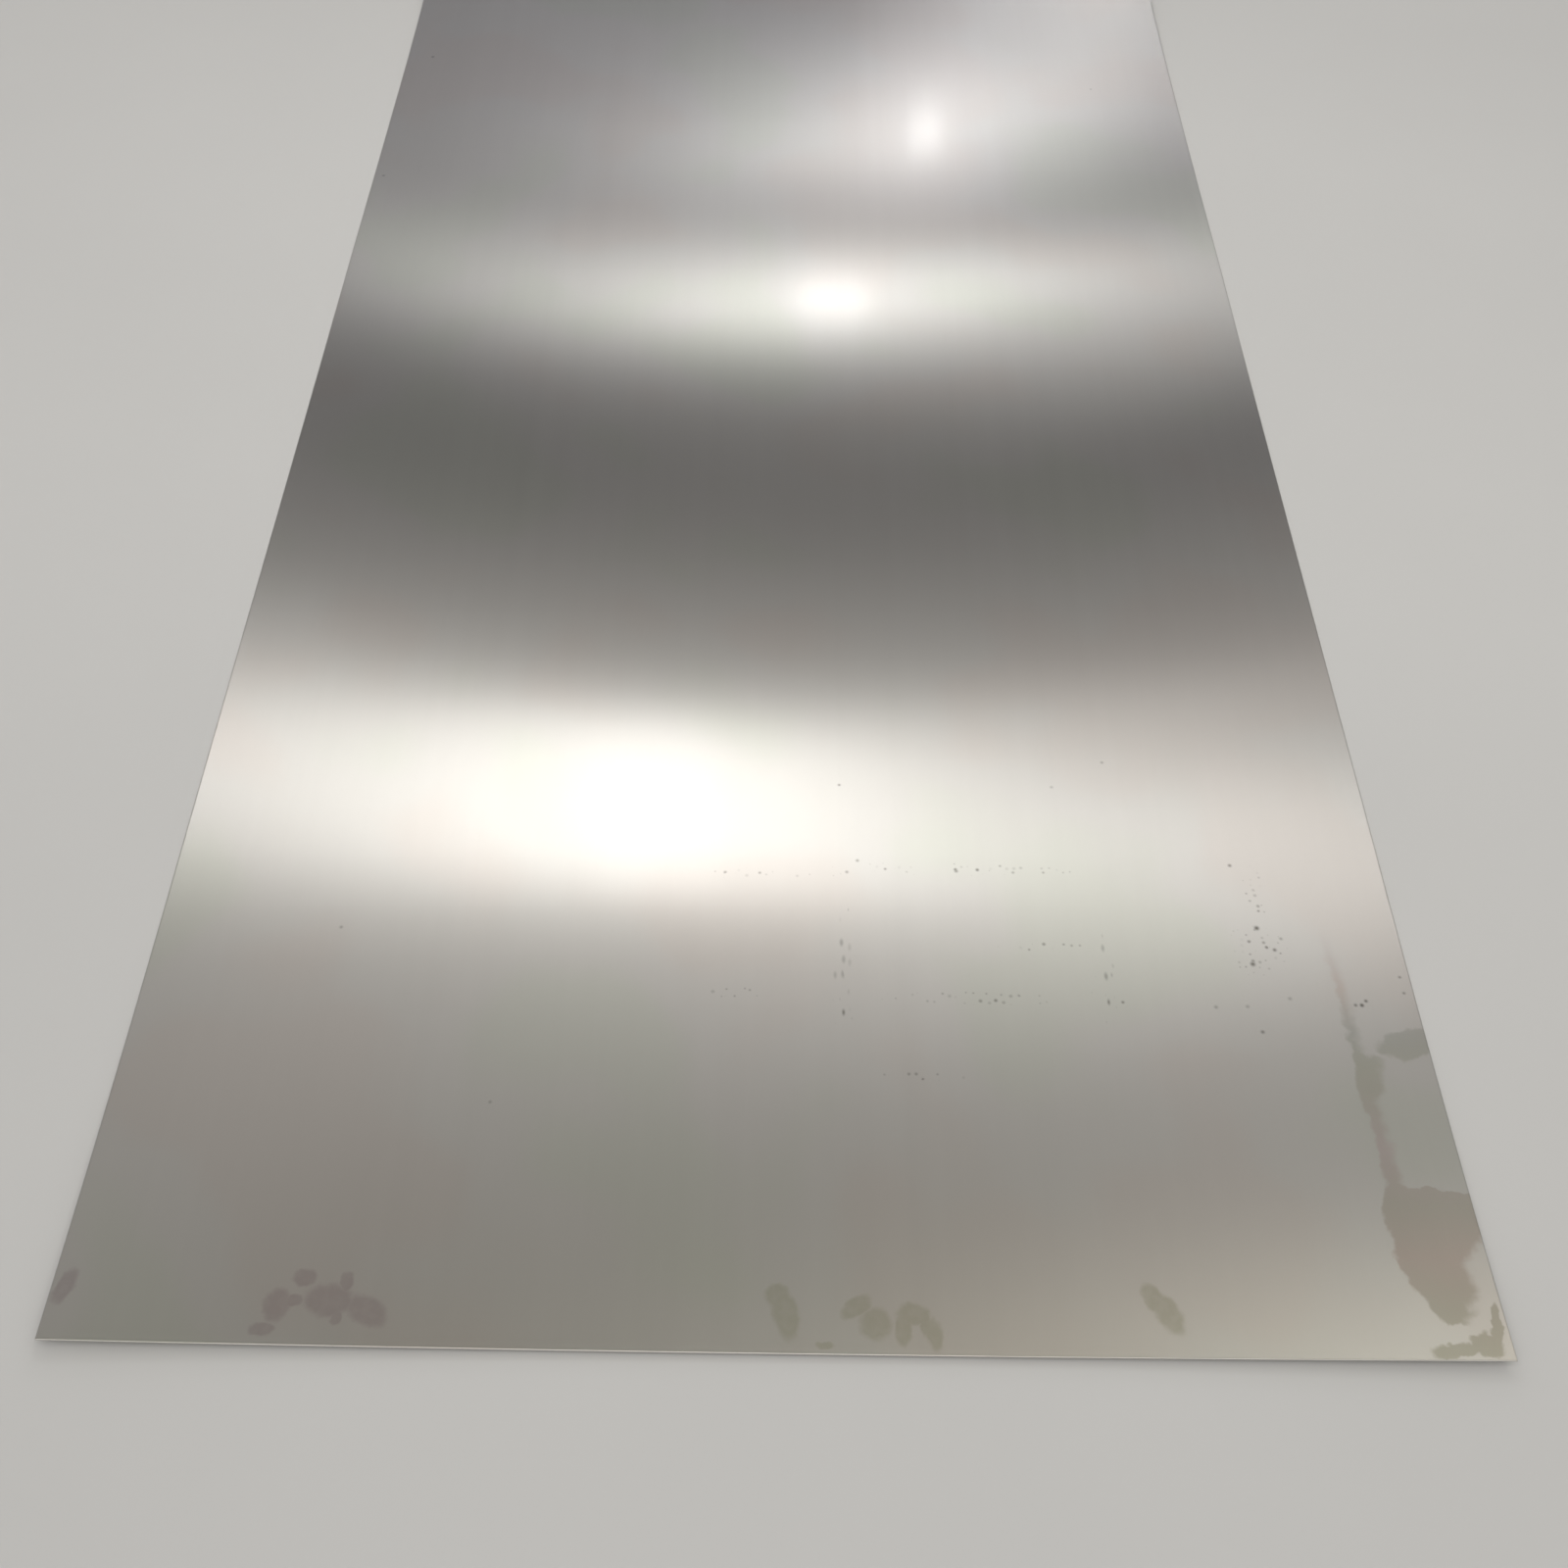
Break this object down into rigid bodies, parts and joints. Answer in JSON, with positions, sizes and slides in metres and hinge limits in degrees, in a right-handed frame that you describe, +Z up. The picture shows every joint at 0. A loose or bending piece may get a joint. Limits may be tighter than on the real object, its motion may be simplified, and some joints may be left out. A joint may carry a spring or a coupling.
{
  "type": "titanium plate",
  "caption": "Thin rectangular titanium sheet with a satin rolled finish and sheared edges, flat in the middle and curling up slightly at both ends.",
  "frame": {"origin": "centre of the underside, on the floor that the sheet lies on", "axes": "+X across the sheet, +Y along it from the end near the viewer to the far end, +Z up"},
  "size_m": [1, 2, 0.011],
  "materials": {
    "titanium": "cold-rolled and pickled commercially pure titanium, satin, with a fine grain along its length"
  },
  "bodies": {
    "root": {"titanium_plate": "titanium"}
  },
  "joints": []
}
